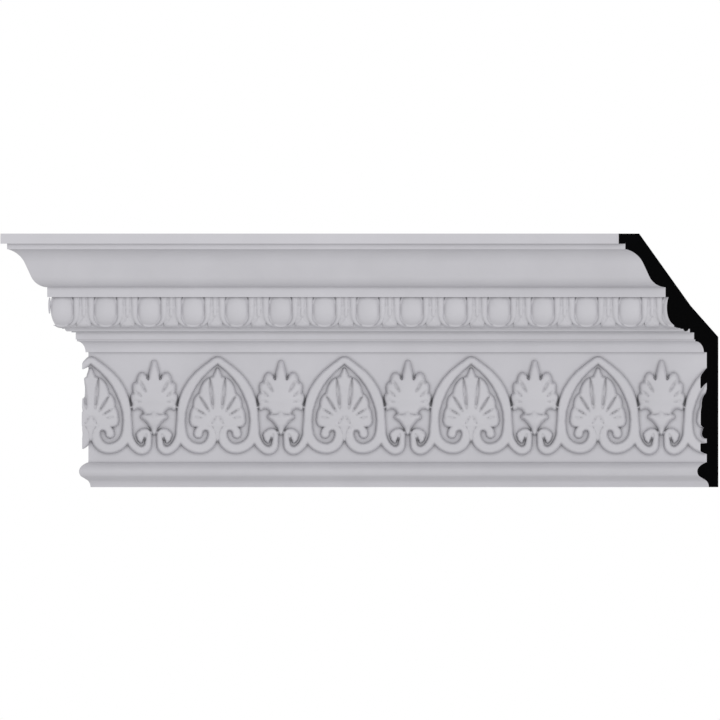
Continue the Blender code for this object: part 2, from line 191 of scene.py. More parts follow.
# The shell's middle line: half its width, its belly's height, its drop and its bluntness
SHELL_HALF = 12.2
SHELL_BELLY = 13.5
SHELL_DROP = 12.4
SHELL_BLUNT = 0.8

# The ovolo's round forms: share of the relief, and how far in the round side goes
SHELL_ROUND = (0.96, 2.2)
BAR_ROUND = (0.82, 1.9)
SPUR_ROUND = (0.78, 1.8)

# How much fuller they are at the ovolo's foot, and up to what height
FOOT_SWELL = 0.3
FOOT_SWELL_TOP = 6.0

# The ovolo's floors: the bowl under the egg, how far it passes the egg, the ground beside the
# dart, and the width of their slopes
BOWL_SHARE = 0.3
BOWL_MARGIN = 1.2
BESIDE_DART_SHARE = 0.5
FLOOR_SLOPE = 0.45

# Pits in the dart's bar: height of the centre and depth, and their half width and half height
BAR_PITS = ((17.3, 0.5), (8.9, 1.7))
PIT_HALVES = (1.4, 1.3)

# The mesh between outlines: its grid and its distance from them as shares of the spacing, how
# many grid steps apart its points are on the carving and on the ground, the fewest points of
# an outline, and how far below another form an outline is left out
GRID_SHARE = 0.7
CLEAR_SHARE = 0.45
CARVED_STEP = 2
GROUND_STEP = 5
SHORTEST_CHAIN = 6
HIDDEN_DROP = 0.25

# Scales of the primer's clouds and tooth and of the cut end's pores, per metre
CLOUD_SCALE = 26.0
TOOTH_SCALE = 1900.0
PORE_SCALE = 1600.0

# Depths of the tooth and of the pores in metres, and how uneven the primer's roughness is
TOOTH_DEPTH = 0.00006
PORE_DEPTH = 0.0002
GLOSS_SPREAD = 0.06

# The stage in metres: the floor's size, the camera's distance and how far it sees
FLOOR_SIZE = 4.0
CAMERA_DISTANCE = 2.0
CAMERA_SIGHT = 20.0

# Levels between the members, counted up from the lower edge
FRIEZE_FOOT = FOOT_HEIGHT + TORUS_HEIGHT
FRIEZE_TOP = FRIEZE_FOOT + FRIEZE_HEIGHT
NECK_TOP = FRIEZE_TOP + COVE_HEIGHT + NECK_HEIGHT
OVOLO_FOOT = NECK_TOP + SOFFIT_DROP
BAND_FOOT = OVOLO_FOOT + OVOLO_HEIGHT
CYMA_FOOT = BAND_FOOT + BAND_HEIGHT
CYMA_TOP = CYMA_FOOT + CYMA_HEIGHT
FASCIA_FOOT = CYMA_TOP + FILLET_HEIGHT
TOP = FASCIA_FOOT + FASCIA_HEIGHT
WALL_FACE_TOP = NECK_TOP - WALL_FACE_DROP
ORIGIN_UP = WALL_FACE_TOP / 2

# Distances of the members from the wall
TORUS_OUT = GROUND_THICKNESS + TORUS_REACH
COVE_TOP_OUT = GROUND_THICKNESS + COVE_STEP + COVE_REACH
NECK_OUT = COVE_TOP_OUT + NECK_STEP
DRIP_OUT = NECK_OUT + DRIP_STEP
PEARL_OUT = DRIP_OUT + DRIP_GAP + PEARL_RADIUS
OVOLO_OUT = PEARL_OUT + OVOLO_STEP
OVOLO_BED = OVOLO_REACH - OVOLO_RELIEF
OVOLO_RISE = OVOLO_HEIGHT - OVOLO_BELLY
BAND_OUT = OVOLO_OUT + OVOLO_REACH + BAND_LIP
CYMA_TOP_OUT = BAND_OUT + CYMA_REACH
FILLET_OUT = CYMA_TOP_OUT + FILLET_STEP
FASCIA_OUT = FILLET_OUT + FASCIA_STEP

# A carved form: its depth inside its outline, its height at a depth, and its gouges' depths
Form = namedtuple("Form", "depth height cuts", defaults=((),))


# Sizes and colours


class CarvingSettings(bpy.types.PropertyGroup):
    """Sizes of the carved relief and of its mesh."""

    spacing: bpy.props.FloatProperty(
        name="Mesh spacing", description="Distance between points along a carved edge",
        default=0.00085, min=0.0005, max=0.003, unit="LENGTH", precision=5)
    flank: bpy.props.FloatProperty(
        name="Flank", description="Width of the steep flank round every carved form",
        default=0.00125, min=0.0003, max=0.002, unit="LENGTH", precision=5)
    arch_relief: bpy.props.FloatProperty(
        name="Arch relief", description="Height of the arches and scrolls above the ground",
        default=0.0052, min=0.001, max=0.007, unit="LENGTH", precision=4)
    palmette_relief: bpy.props.FloatProperty(
        name="Palmette relief", description="Height of the large palmettes above the ground",
        default=0.0056, min=0.001, max=0.007, unit="LENGTH", precision=4)
    groove: bpy.props.FloatProperty(
        name="Groove", description="Depth of the gouged grooves between the palmettes' petals",
        default=0.0019, min=0.0, max=0.003, unit="LENGTH", precision=4)
    crease: bpy.props.FloatProperty(
        name="Crease", description="Angle above which an edge is shaded sharp",
        default=math.radians(50), min=math.radians(10), max=math.radians(90),
        subtype="ANGLE")


class FinishSettings(bpy.types.PropertyGroup):
    """Colours and roughness of the primed surface and the cut ends."""

    primer: bpy.props.FloatVectorProperty(
        name="Primer", description="Colour of the factory primer",
        default=(0.565, 0.558, 0.590), size=3, min=0.0, max=1.0, subtype="COLOR")
    mottle: bpy.props.FloatProperty(
        name="Mottle", description="How much the primer's colour varies",
        default=0.025, min=0.0, max=0.2, subtype="FACTOR")
    # Painted shade: the primer's colour is darkened in recesses and inner corners, where shade
    # falls. These three set how much, how far from a corner, and how much of it outside the carved
    # frieze.
    painted_shade: bpy.props.FloatProperty(
        name="Recess", description="How much darker the primer is deep in a recess",
        default=0.76, min=0.0, max=1.0, subtype="FACTOR")
    painted_shade_reach: bpy.props.FloatProperty(
        name="Recess reach", description="How far from an inner corner the primer is darker",
        default=0.0029, min=0.0, max=0.02, unit="LENGTH", precision=4)
    plain_painted_shade: bpy.props.FloatProperty(
        name="Plain recess", description="Share of that darkening outside the carved frieze",
        default=0.6, min=0.0, max=1.0, subtype="FACTOR")
    roughness: bpy.props.FloatProperty(
        name="Roughness", description="Roughness of the primer",
        default=0.58, min=0.0, max=1.0, subtype="FACTOR")
    cut: bpy.props.FloatVectorProperty(
        name="Cut end", description="Colour of the cut faces",
        default=(0.0025, 0.0025, 0.0027), size=3, min=0.0, max=1.0, subtype="COLOR")


class StageSettings(bpy.types.PropertyGroup):
    """Floor, light and camera."""

    floor: bpy.props.FloatVectorProperty(
        name="Floor", description="Colour of the floor",
        default=(0.90, 0.90, 0.90), size=3, min=0.0, max=1.0, subtype="COLOR")
    floor_drop: bpy.props.FloatProperty(
        name="Floor drop", description="How far the floor lies below the hung length",
        default=0.26, min=0.0, max=2.0, unit="LENGTH")
    ambient: bpy.props.FloatProperty(
        name="Ambient", description="Strength of the light from all round",
        default=0.62, min=0.0, max=5.0)
    frontal: bpy.props.FloatProperty(
        name="Frontal", description="Strength of the soft light from the front",
        default=1.38, min=0.0, max=20.0)
    side: bpy.props.FloatProperty(
        name="Side", description="How far to the right the frontal light stands",
        default=math.radians(13), min=math.radians(-80), max=math.radians(80),
        subtype="ANGLE")
    softness: bpy.props.FloatProperty(
        name="Softness", description="Angle over which the frontal light is spread",
        default=math.radians(16), min=0.0, max=math.radians(180), subtype="ANGLE")
    framing: bpy.props.FloatProperty(
        name="Framing", description="Width of the camera's frame",
        default=0.5962, min=0.1, max=5.0, unit="LENGTH")
    aim: bpy.props.FloatVectorProperty(
        name="Aim", description="Middle of the camera's frame along the length and up",
        default=(-0.0407, 0.0431), size=2, unit="LENGTH")


# The profile


def elliptic_arc(centre, reach, rise, start, stop, steps):
    """Points of an ellipse's arc from the start angle to the stop angle, in degrees."""
    points = []
    for index in range(steps + 1):
        angle = math.radians(start + (stop - start) * index / steps)
        points.append((centre[0] + reach * math.cos(angle), centre[1] + rise * math.sin(angle)))
    return points


def ogee(low, high, angles, balance, steps):
    """An S curve from the high point to the low one: two arcs with a straight between.

    The angles are the slopes at its top, middle and foot, seen in a square one unit wide, and
    the balance is the radius of its lower arc over that of its upper one.
    """
    top, middle, foot = (math.radians(angle) for angle in angles)
    inward = (abs(math.sin(middle) - math.sin(top))
              + balance * abs(math.sin(middle) - math.sin(foot)))
    down = (abs(math.cos(top) - math.cos(middle))
            + balance * abs(math.cos(foot) - math.cos(middle)))
    scale = inward * math.sin(middle) - down * math.cos(middle)
    radius = (math.sin(middle) - math.cos(middle)) / scale
    straight = (inward - down) / scale
    spot = (0.0, 0.0)
    unit = [spot]
    for size, begin, end in ((radius, top, middle), (radius * balance, middle, foot)):
        step = (end - begin) / steps
        for index in range(steps):
            chord = 2 * size * math.sin(abs(step) / 2)
            slope = begin + step * (index + 0.5)
            spot = (spot[0] + chord * math.cos(slope), spot[1] + chord * math.sin(slope))
            unit.append(spot)
        if begin == top:
            spot = (spot[0] + straight * math.cos(middle), spot[1] + straight * math.sin(middle))
            unit.append(spot)
    reach = high[0] - low[0]
    drop = high[1] - low[1]
    return [(high[0] - reach * x, high[1] - drop * y) for x, y in reversed(unit)]


def line_past(start, corner, wall, side):
    """Direction from the start point of a line that leaves a wall before the corner."""
    away = (corner[0] - start[0], corner[1] - start[1])
    swing = math.asin(wall / math.hypot(*away))
    angle = math.atan2(away[1], away[0]) + side * swing
    return math.cos(angle), math.sin(angle)


def crossing(first, first_way, second, second_way):
    """The point where two lines cross."""
    across = first_way[0] * second_way[1] - first_way[1] * second_way[0]
    gap = (second[0] - first[0], second[1] - first[1])
    along = (gap[0] * second_way[1] - gap[1] * second_way[0]) / across
    return first[0] + along * first_way[0], first[1] + along * first_way[1]


def below_frieze():
    """The foot and the torus as (out, up), from the lower edge to the frieze's ground."""
    points = ogee((FOOT_THICKNESS, 0.0), (TORUS_OUT, FOOT_HEIGHT), FOOT_SLOPES,
                  FOOT_BALANCE, FOOT_STEPS)
    reach = TORUS_REACH / (1 - math.cos(math.radians(TORUS_ARC)))
    rise = TORUS_HEIGHT / math.sin(math.radians(TORUS_ARC))
    torus = elliptic_arc((TORUS_OUT - reach, FOOT_HEIGHT), reach, rise, 0, TORUS_ARC,
                         ROUND_STEPS)
    return points + torus[1:-1]


def frieze_to_ovolo():
    """The cove, the neck, the drip and the pearl, from the frieze's top to the ovolo's foot."""
    points = elliptic_arc((COVE_TOP_OUT, FRIEZE_TOP), -COVE_REACH, COVE_HEIGHT, 0, 90,
                          ROUND_STEPS)
    points.append((COVE_TOP_OUT, NECK_TOP - NECK_FILLET))
    points.append((NECK_OUT, NECK_TOP - NECK_FILLET))
    points.append((NECK_OUT, NECK_TOP))
    points.append((DRIP_OUT, NECK_TOP))
    points.append((DRIP_OUT, NECK_TOP + DRIP_DROP))
    pearl = (PEARL_OUT, NECK_TOP + DRIP_DROP)
    points += elliptic_arc(pearl, PEARL_RADIUS, PEARL_RADIUS, 180, 360, ROUND_STEPS)
    points.append((OVOLO_OUT, NECK_TOP + DRIP_DROP))
    return points


def above_ovolo():
    """The band, the cyma and the fascia, and then the back down to the lower edge."""
    points = [(BAND_OUT, BAND_FOOT), (BAND_OUT, CYMA_FOOT)]
    points += ogee((BAND_OUT, CYMA_FOOT), (CYMA_TOP_OUT, CYMA_TOP), CYMA_SLOPES,
                   CYMA_BALANCE, CYMA_STEPS)[1:]
    points.append((FILLET_OUT, CYMA_TOP))
    points.append((FILLET_OUT, FASCIA_FOOT))
    points.append((FASCIA_OUT, FASCIA_FOOT))
    points.append((FASCIA_OUT, TOP))
    ceiling = (FASCIA_OUT - CEILING_FACE, TOP)
    wall = (0.0, WALL_FACE_TOP)
    rising = line_past(wall, (NECK_OUT, NECK_TOP), NECK_WALL, 1)
    falling = line_past(ceiling, (BAND_OUT, CYMA_FOOT), BAND_WALL, -1)
    return points + [ceiling, crossing(wall, rising, ceiling, falling), wall, (0.0, 0.0)]


# Drawing the templates


def draft(start, heading, moves):
    """A path from straights (length,) and arcs (radius, clockwise turn), all in degrees."""
    x, z = start
    angle = math.radians(heading)
    path = [(x, z)]
    for size, *turning in moves:
        turn = math.radians(turning[0]) if turning else 0.0
        steps = max(1, round(abs(turn) / math.radians(9)))
        chord = 2 * size * math.sin(abs(turn) / steps / 2) if turning else size
        for _ in range(steps):
            middle = angle - turn / steps / 2
            x += chord * math.cos(middle)
            z += chord * math.sin(middle)
            angle -= turn / steps
            path.append((x, z))
    return path


def spread(path, knots):
    """Values for a path's points, smooth between knots that are evenly shared out."""
    legs = [math.dist(before, after) for before, after in zip(path, path[1:])]
    along = np.concatenate([[0.0], np.cumsum(legs)])
    return np.interp(along, np.linspace(0.0, along[-1], len(knots)), knots)


def lobed(hub, lobes, rest):
    """The right half of a leaf's outline, from its tip down.

    Each lobe gives the angle and radius where it ends, and how far it bulges beyond the
    straight between its ends. The rest are plain points of the underside.
    """
    half = []
    angle, radius = 0.0, lobes[0][1]
    for end_angle, end_radius, bulge in lobes[1:]:
        steps = max(3, round((end_angle - angle) / 3))
        for index in range(steps):
            share = index / steps
            turn = math.radians(angle + (end_angle - angle) * share)
            swell = bulge * math.sin(math.pi * share ** 0.8)
            reach = radius + (end_radius - radius) * share + swell
            half.append((hub[0] + reach * math.sin(turn), hub[1] + reach * math.cos(turn)))
        angle, radius = end_angle, end_radius
    turn = math.radians(angle)
    half.append((hub[0] + radius * math.sin(turn), hub[1] + radius * math.cos(turn)))
    return half + list(rest)


def both_sides(axis, half):
    """A closed outline from its right half, mirrored about an axis."""
    right = [(axis + x, z) for x, z in half]
    left = [(axis - x, z) for x, z in reversed(half)]
    return right + left


def band_depth(path, halves):
    """How deep a point lies inside a band along a path; it is negative outside."""
    def depth(x, z):
        deepest = np.full(np.shape(x), -1e3)
        for index in range(len(path) - 1):
            (ax, az), (bx, bz) = path[index], path[index + 1]
            dx, dz = bx - ax, bz - az
            share = np.clip(((x - ax) * dx + (z - az) * dz) / (dx * dx + dz * dz), 0, 1)
            gap = np.hypot(x - ax - share * dx, z - az - share * dz)
            half = halves[index] + (halves[index + 1] - halves[index]) * share
            deepest = np.maximum(deepest, half - gap)
        return deepest
    return depth


def outline_depth(outline):
    """How deep a point lies inside a closed outline; it is negative outside."""
    def depth(x, z):
        nearest = np.full(np.shape(x), 1e3)
        inside = np.zeros(np.shape(x), bool)
        for (ax, az), (bx, bz) in zip(outline, outline[1:] + outline[:1]):
            dx, dz = bx - ax, bz - az
            size = dx * dx + dz * dz
            if size < 1e-9:
                continue
            share = np.clip(((x - ax) * dx + (z - az) * dz) / size, 0, 1)
            nearest = np.minimum(nearest, np.hypot(x - ax - share * dx, z - az - share * dz))
            if abs(dz) > 1e-9:
                spans = (az > z) != (bz > z)
                inside ^= spans & (x < ax + (z - az) * dx / dz)
        return np.where(inside, nearest, -nearest)
    return depth


def any_depth(*depths):
    """The depth inside whichever of several shapes is deepest."""
    return lambda x, z: np.maximum.reduce([depth(x, z) for depth in depths])


def carved(depth, relief, edge, shoulder):
    """Height at a depth inside an outline: a steep flank, then a rounded shoulder."""
    crown, wall = shoulder
    rise = np.clip((depth + FLANK_SLOPE * edge) / (2 * FLANK_SLOPE * edge), 0, 1)
    turn = np.clip((depth - edge) / (crown - edge), 0, 1)
    return relief * (rise * wall + (1 - wall) * (1 - (1 - turn) ** 2))


def falling(distance, fall):
    """What is left of a form's height at a distance from its middle."""
    share, reach = fall
    return 1 - share * np.clip(distance / reach, 0, 1) ** 2


def lens_depth(start, stop, half):
    """How deep a point lies inside a lens between two points; it is negative outside."""
    dx, dz = stop[0] - start[0], stop[1] - start[1]

    def depth(x, z):
        share = np.clip(((x - start[0]) * dx + (z - start[1]) * dz) / (dx * dx + dz * dz), 0, 1)
        gap = np.hypot(x - start[0] - share * dx, z - start[1] - share * dz)
        return half * np.sqrt(4 * share * (1 - share)) - gap
    return depth


def gouged(depth, deep):
    """How much a gouge takes away at a depth inside its outline."""
    share = np.clip(depth / GOUGE_WALL, 0, 1)
    return deep * share * share * (3 - 2 * share)


# The carved forms of half a repeat


def scroll_forms(edge, relief):
    """The arch with its big scroll, and the small scroll at its outer side."""
    limb = draft((0.0, 84.6), 0, [
        (3.0, 38), (9.6,), (54.5, 52.3), (7.6,), (15.6, 85.5), (10.9, 109), (5.8, 160.8), (0.5,)])
    small = draft((31.7, 31.0), -90, [
        (6.8,), (15.6, -58.5), (5.5, -116.3), (7.3,), (3.5, -210.3), (0.3,)])
    limb_halves = spread(limb, (2.9, 3.2, 3.8, 4.2, 4.1, 3.2, 4.3, 4.0, 4.0, 4.1, 2.7, 3.5))
    small_halves = spread(small, (2.2, 2.8, 3.3, 3.1, 3.3, 2.7, 2.3, 2.1, 2.7))
    knob = band_depth([(43.9, 24.4), (41.3, 22.9), (40.9, 19.8), (41.7, 17.9)],
                      (2.6, 3.5, 2.2, 1.4))
    depth = any_depth(band_depth(limb, limb_halves), band_depth(small, small_halves), knob)
    return [Form(depth, lambda x, z, d: carved(d, relief, edge, SCROLL_SHOULDER))]


def large_palmette_forms(edge, relief, groove):
    """The palmette inside the arch, and the stem between the two big scrolls."""
    hub = (0.0, 34.3)
    half = lobed(hub, ((0, 38.0), (7.5, 36.9, 0.0), (33, 27.7, 1.8), (60, 23.3, 1.1),
                       (82, 23.0, 0.4), (98, 22.3, 0.5)),
                 ((21.1, 30.3), (19.4, 29.5), (17.0, 29.0), (0.0, 28.6)))
    tip = band_depth([(0.0, 76.9), (0.0, 74.5), (0.0, 72.0), (0.0, 69.0)],
                     (1.3, 2.2, 3.3, 4.4))
    grooves = [(lens_depth(*lens), groove * share) for share, *lens in (
        (1.0, (6.6, 71.5), (3.7, 43.6), 2.3), (0.9, (15.8, 56.6), (6.4, 41.6), 1.9),
        (0.8, (18.9, 45.2), (9.0, 39.0), 1.5), (0.6, (19.8, 38.1), (11.8, 36.9), 1.2),
        (0.6, (0.2, 39.6), (5.6, 31.2), 1.3))]

    def height(x, z, depth):
        away = np.hypot(x - hub[0], z - hub[1])
        crown = relief * falling(away, PALMETTE_FALL)
        made = carved(depth, crown, edge, PALMETTE_SHOULDER)
        for lens, deep in grooves:
            made = made - gouged(lens(x, z), deep) * (depth > edge)
        return made
    stem = band_depth([(0.0, 35.0), (0.0, 30.0), (0.0, 25.0), (0.0, 19.4)],
                      (6.5, 5.2, 3.0, 1.6))
    return [Form(any_depth(outline_depth(both_sides(0.0, half)), tip), height,
                 [lens for lens, _ in grooves]),
            Form(stem, lambda x, z, d: carved(d, relief * STEM_SHARE, edge, STEM_SHOULDER))]


def small_palmette_forms(axis, edge):
    """The palmette between two arches, and the cup that it stands on."""
    hub = (0.0, 41.7)
    spear = band_depth([(axis, 82.7), (axis, 78.0), (axis, 73.3), (axis, 66.0)],
                       (2.0, 3.2, 4.3, 4.8))
    leaf = lobed(hub, ((0, 36.0), (10, 28.7, 0.0), (30.3, 28.7, 5.8), (47, 23.4, 2.4),
                       (70, 19.2, 1.6), (84, 18.0, 0.9)),
                 ((16.4, 43.4), (14.1, 44.9), (11.6, 44.6), (9.6, 43.0), (8.5, 40.6),
                  (8.2, 38.6), (0.0, 38.0)))
    cup = ((0.0, 43.6), (1.0, 42.2), (3.0, 41.0), (5.4, 40.5), (7.7, 40.9), (9.9, 39.9),
           (11.4, 38.3), (10.9, 36.7), (8.6, 35.5), (6.2, 33.2), (4.0, 30.0), (2.9, 28.4),
           (2.8, 26.8), (2.4, 25.2), (1.7, 23.8), (1.1, 23.1), (0.0, 22.9))
    leaf_rise = ((43.0, 5.3), (46.7, 5.8), (51.7, 6.9), (60.0, 7.2), (71.5, 6.3), (78.2, 5.5),
                 (81.5, 4.3), (84.8, 3.0))
    cup_rise = ((22.0, 2.4), (24.3, 5.3), (26.8, 4.5), (31.8, 6.9), (36.8, 8.0), (40.1, 7.4),
                (43.2, 6.0))
    dimples = [(lens_depth(*lens), deep) for deep, *lens in (
        (1.5, (12.4, 68.6), (6.4, 58.0), 2.0), (1.1, (16.4, 60.0), (9.8, 54.4), 1.7),
        (1.0, (17.0, 51.6), (10.0, 50.0), 1.5), (2.4, (6.2, 74.4), (4.7, 68.0), 1.7))]

    def leaf_height(x, z, depth):
        side = np.abs(x - axis)
        crown = np.interp(z, *zip(*leaf_rise)) * falling(side, LEAF_FALL)
        made = carved(depth, crown, edge, LEAF_SHOULDER)
        for lens, deep in dimples:
            made = made - gouged(lens(side, z), deep) * (depth > edge)
        return made

    def cup_height(x, z, depth):
        side = np.abs(x - axis)
        crown = np.interp(z, *zip(*cup_rise)) * falling(side, CUP_FALL)
        return carved(depth, crown, edge, CUP_SHOULDER)
    return [Form(any_depth(outline_depth(both_sides(axis, leaf)), spear), leaf_height,
                 [lambda x, z, lens=lens: lens(np.abs(x - axis), z) for lens, _ in dimples]),
            Form(outline_depth(both_sides(axis, list(cup))), cup_height)]


def egg_form(relief):
    """The egg: an ellipse above its belly and a blunter curve below it."""
    def size(x, z):
        side = np.abs(x) / EGG_HALF
        upper = np.hypot(side, (z - EGG_BELLY) / EGG_ABOVE)
        drop = np.clip((EGG_BELLY - z) / EGG_BELOW, 0, None)
        lower = (side ** EGG_BLUNT + drop ** EGG_BLUNT) ** (1 / EGG_BLUNT)
        return np.where(z > EGG_BELLY, upper, lower)

    def height(x, z, depth):
        return relief * np.clip(1 - size(x, z) ** EGG_CROWN, 0, 1) ** 0.5
    return Form(lambda x, z: (1 - size(x, z)) * EGG_HALF, height)


def ovolo_forms(relief):
    """The egg, half its shell and half the dart beside it."""
    shell = [(SHELL_HALF, 27.5)]
    for step in range(13):
        turn = math.radians(7.5 * step)
        shell.append((SHELL_HALF * abs(math.cos(turn)) ** SHELL_BLUNT,
                      SHELL_BELLY - SHELL_DROP * math.sin(turn) ** SHELL_BLUNT))
    shell_halves = spread(shell, (3.1, 3.1, 3.1, 3.0, 2.8, 2.3, 1.8, 1.3, 1.0, 0.9))
    middle = EGG_PITCH / MILLIMETRE / 2
    dart = [(middle, 28.0), (middle, 22.0), (middle, 17.5), (middle, 13.0), (middle, 9.6)]
    spur = both_sides(middle, [(0.0, 10.4), (1.7, 8.6), (2.4, 6.8), (4.4, 5.0), (6.0, 2.4),
                               (5.6, 1.2), (3.6, 1.6), (2.0, 0.8), (0.0, 0.7)])
    beside = band_depth([(middle, 28.0), (middle, 4.0)], (3.4, 6.4))

    def rounded(share, girth):
        def height(x, z, depth):
            turn = np.clip(1 - depth / girth, 0, 1)
            low = np.clip(1 - z / FOOT_SWELL_TOP, 0, 1)
            return relief * share * (1 + FOOT_SWELL * low) * np.sqrt(1 - turn ** 2)
        return height

    def level(share):
        return lambda x, z, depth: relief * share * np.clip(depth / FLOOR_SLOPE, 0, 1)

    def bar(x, z, depth):
        made = rounded(*BAR_ROUND)(x, z, depth)
        for centre, deep in BAR_PITS:
            away = np.hypot((x - middle) / PIT_HALVES[0], (z - centre) / PIT_HALVES[1])
            made = made - deep * np.clip(1 - away ** 2, 0, 1)
        return made
    egg = egg_form(relief)
    return [
        egg,
        Form(lambda x, z: egg.depth(x, z) + BOWL_MARGIN, level(BOWL_SHARE)),
        Form(band_depth(shell, shell_halves), rounded(*SHELL_ROUND)),
        Form(beside, level(BESIDE_DART_SHARE)),
        Form(band_depth(dart, (2.5, 2.4, 2.1, 2.2, 1.8)), bar),
        Form(outline_depth(spur), rounded(*SPUR_ROUND)),
    ]


# From carved forms to a mesh


def contour_chains(xs, rows, field, level):
    """Chains of points where a field on a grid crosses a level; a closed one ends as it starts."""
    over = field > level
    corners = over[:-1, :-1] * 1 + over[1:, :-1] + over[1:, 1:] + over[:-1, 1:]
    links, spots = {}, {}
    for i, j in np.argwhere((corners > 0) & (corners < 4)):
        ring = ((i, j), (i + 1, j), (i + 1, j + 1), (i, j + 1))
        cuts = []
        for start, stop in zip(ring, ring[1:] + ring[:1]):
            if over[start] == over[stop]:
                continue
            key = tuple(sorted((start, stop)))
            rise = field[start] - level
            share = rise / (field[start] - field[stop])
            spots[key] = (xs[start[0]] + (xs[stop[0]] - xs[start[0]]) * share,
                          rows[start[1]] + (rows[stop[1]] - rows[start[1]]) * share)
            cuts.append(key)
        for one, other in zip(cuts[::2], cuts[1::2]):
            links.setdefault(one, []).append(other)
            links.setdefault(other, []).append(one)
    chains = []
    for first in sorted(links, key=lambda key: len(links[key])):
        if not links[first]:
            continue
        chain = [first]
        while links[chain[-1]]:
            after = links[chain[-1]].pop()
            links[after].remove(chain[-1])
            chain.append(after)
        chains.append(np.array([spots[key] for key in chain]))
    return chains


def resample(chain, spacing):
    """The chain again, with its points evenly spaced."""
    legs = np.hypot(*np.diff(chain, axis=0).T)
    along = np.concatenate([[0.0], np.cumsum(legs)])
    stops = np.linspace(0.0, along[-1], max(3, round(along[-1] / spacing)) + 1)
    return np.column_stack([np.interp(stops, along, chain[:, side]) for side in (0, 1)])


def surface(forms, x, z):
    """Height of the highest form above the ground."""
    heights = [form.height(x, z, form.depth(x, z)) for form in forms]
    return np.maximum(0.0, np.maximum.reduce(heights))


def relief_tile(width, length, to_template, forms, levels, spacing):
    """Half a repeat as points (x, row, height) and triangles that follow every outline."""
    fine = spacing * GRID_SHARE
    xs = np.linspace(0.0, width, round(width / fine) + 1)
    rows = np.linspace(0.0, length, round(length / fine) + 1)
    x_grid, row_grid = np.meshgrid(xs, rows, indexing="ij")
    z_grid = to_template(row_grid)
    points, edges = [], []
    clear = np.ones(x_grid.shape, bool)
    raised = surface(forms, x_grid, z_grid) > 0
    lines = [(form, form.depth, level) for form in forms for level in levels]
    lines += [(form, cut, level) for form in forms for cut in form.cuts
              for level in GOUGE_LEVELS]
    for form, depth, level in lines:
        others = [other for other in forms if other is not form]
        field = depth(x_grid, z_grid)
        clear &= np.abs(field - level) > spacing * CLEAR_SHARE
        for chain in contour_chains(xs, rows, field, level):
            if len(chain) < SHORTEST_CHAIN:
                continue
            chain = resample(chain, spacing)
            x, z = chain[:, 0], to_template(chain[:, 1])
            own = form.height(x, z, form.depth(x, z))
            shown = surface(others, x, z) <= own + HIDDEN_DROP
            start = len(points)
            points += [tuple(point) for point in chain]
            for index in range(len(chain) - 1):
                if shown[index] or shown[index + 1]:
                    edges.append((start + index, start + index + 1))
    used = sorted({index for edge_ends in edges for index in edge_ends})
    place = {index: count for count, index in enumerate(used)}
    points = [points[index] for index in used]
    edges = [(place[one], place[other]) for one, other in edges]
    for i in range(len(xs)):
        for j in range(len(rows)):
            rim = i in (0, len(xs) - 1) or j in (0, len(rows) - 1)
            every = CARVED_STEP if raised[i, j] or rim else GROUND_STEP
            corner = i in (0, len(xs) - 1) and j in (0, len(rows) - 1)
            if corner or (i % every == 0 and j % every == 0 and clear[i, j]):
                points.append((xs[i], rows[j]))
    made = delaunay_2d_cdt([Vector(point) for point in points], edges, [], 0, 1e-4)
    spots = np.array([tuple(spot) for spot in made[0]])
    heights = surface(forms, spots[:, 0], to_template(spots[:, 1]))
    return np.column_stack([spots, heights]), [tuple(face) for face in made[2]]


class Skin:
    """Points and faces of the moulding's surface, with points at one place shared."""

    def __init__(self):
        self.points = []
        self.faces = []
        self.known = {}

    def point(self, x, out, up):
        """The number of the point at a place of the part."""
        key = (round(x * 1e6), round(out * 1e6), round(up * 1e6))
        if key not in self.known:
            self.known[key] = len(self.points)
            self.points.append((x, -out, up - ORIGIN_UP))
        return self.known[key]

    def face(self, *corners):
        """A face, unless two of its corners are one point."""
        if len(set(corners)) == len(corners):
            self.faces.append(corners)

    def rail(self, out, up, ends):
        """A straight line of two points along the length."""
        return [self.point(x, out, up) for x in ends]

    def strip(self, row, after):
        """The flat face between two rows of points along the length."""
        self.faces.append(tuple(row) + tuple(reversed(after)))

    def repeats(self, tile, axes, pitch, place):
        """Every half repeat of a tile; gives its lowest and its highest row."""
        spots, triangles = tile
        low, high = set(), set()
        top = spots[:, 1].max()
        for axis in axes:
            for side in (1, -1):
                numbers = [self.point(*place(axis + side * x * MILLIMETRE, row, height))
                           for x, row, height in spots]
                for triangle in triangles:
                    self.face(*(numbers[corner] for corner in triangle))
                low |= {n for n, spot in zip(numbers, spots) if spot[1] < 1e-6}
                high |= {n for n, spot in zip(numbers, spots) if spot[1] > top - 1e-6}
        return [sorted(row, key=lambda n: self.points[n][0]) for row in (low, high)]


